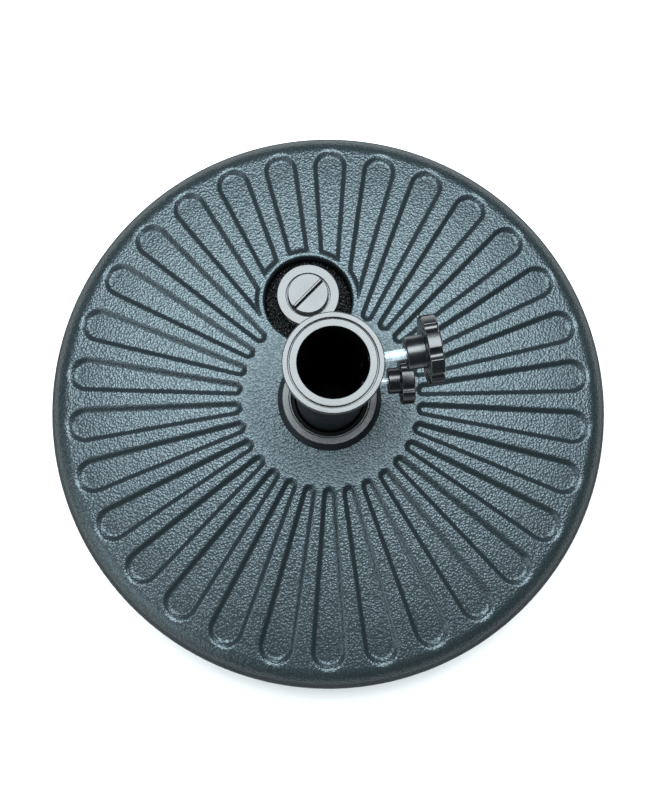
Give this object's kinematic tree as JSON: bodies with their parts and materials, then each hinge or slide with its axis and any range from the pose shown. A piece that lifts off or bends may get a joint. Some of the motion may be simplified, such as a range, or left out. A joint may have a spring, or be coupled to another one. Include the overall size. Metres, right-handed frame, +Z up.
{
  "type": "parasol base",
  "caption": "Round fillable plastic parasol base with a fluted top, a screw plug and an upright pole tube with star-knob clamp screws.",
  "frame": {"origin": "on the ground, under the middle of the pole tube", "axes": "+Z up along the pole tube, +X towards the clamp screws, +Y towards the filler plug"},
  "size_m": [0.5, 0.5, 0.3408],
  "materials": {
    "grained_tank_plastic": "dark grey blow-moulded plastic with a fine pebbled grain",
    "smooth_black_plastic": "smooth black injection-moulded plastic",
    "plug_plastic": "smooth black injection-moulded plastic",
    "tube_plastic": "smooth black plastic",
    "knob_plastic": "satin black plastic",
    "seal_rubber": "soft black rubber",
    "zinc_plated_steel": "bright bluish zinc plating"
  },
  "bodies": {
    "base": {"tank_shell": "grained_tank_plastic", "filler_neck": "smooth_black_plastic", "neck_ring": "smooth_black_plastic", "pole_tube": "tube_plastic", "tube_foot": "tube_plastic", "upper_nut": "zinc_plated_steel", "lower_nut": "zinc_plated_steel", "fixing_bolt": "zinc_plated_steel", "fixing_washer": "zinc_plated_steel", "fixing_nut": "zinc_plated_steel"},
    "upper_thrust": {"upper_pad": "knob_plastic"},
    "upper_screw": {"upper_stud": "zinc_plated_steel", "upper_knob": "knob_plastic"},
    "lower_thrust": {"lower_pad": "knob_plastic"},
    "lower_screw": {"lower_stud": "zinc_plated_steel", "lower_knob": "knob_plastic"},
    "plug_carrier": {"plug_seal": "seal_rubber"},
    "plug": {"fill_plug": "plug_plastic"},
    "sleeve": {"pole_sleeve": "tube_plastic"}
  },
  "joints": [
    {"name": "upper_screw_travel", "type": "slide", "parent": "base", "child": "upper_thrust", "axis": [-0.9848, -0.1736, 0], "range_m": [0, 0.015]},
    {"name": "upper_screw_turn", "type": "hinge", "parent": "upper_thrust", "child": "upper_screw", "pos_m": [0, 0, 0.317], "axis": [-0.9848, -0.1736, 0], "range_deg": [0, 4320]},
    {"name": "lower_screw_travel", "type": "slide", "parent": "base", "child": "lower_thrust", "axis": [-0.9962, -0.0872, 0], "range_m": [0, 0.009]},
    {"name": "lower_screw_turn", "type": "hinge", "parent": "lower_thrust", "child": "lower_screw", "pos_m": [0, 0, 0.218], "axis": [-0.9962, -0.0872, 0], "range_deg": [0, 3240]},
    {"name": "plug_lift", "type": "slide", "parent": "base", "child": "plug_carrier", "axis": [0, 0, 1], "range_m": [0, 0.015]},
    {"name": "plug_turn", "type": "hinge", "parent": "plug_carrier", "child": "plug", "pos_m": [-0.01892, 0.08901, 0.15], "axis": [0, 0, 1], "range_deg": [0, 1800]},
    {"name": "sleeve_lift", "type": "slide", "parent": "base", "child": "sleeve", "axis": [0, 0, 1], "range_m": [0, 0.16]}
  ],
  "couplings": [
    {"joint": "upper_screw_travel", "follows": "upper_screw_turn", "m_per_rad": 0.00019894},
    {"joint": "lower_screw_travel", "follows": "lower_screw_turn", "m_per_rad": 0.00015915},
    {"joint": "plug_lift", "follows": "plug_turn", "m_per_rad": 0.00047746}
  ]
}
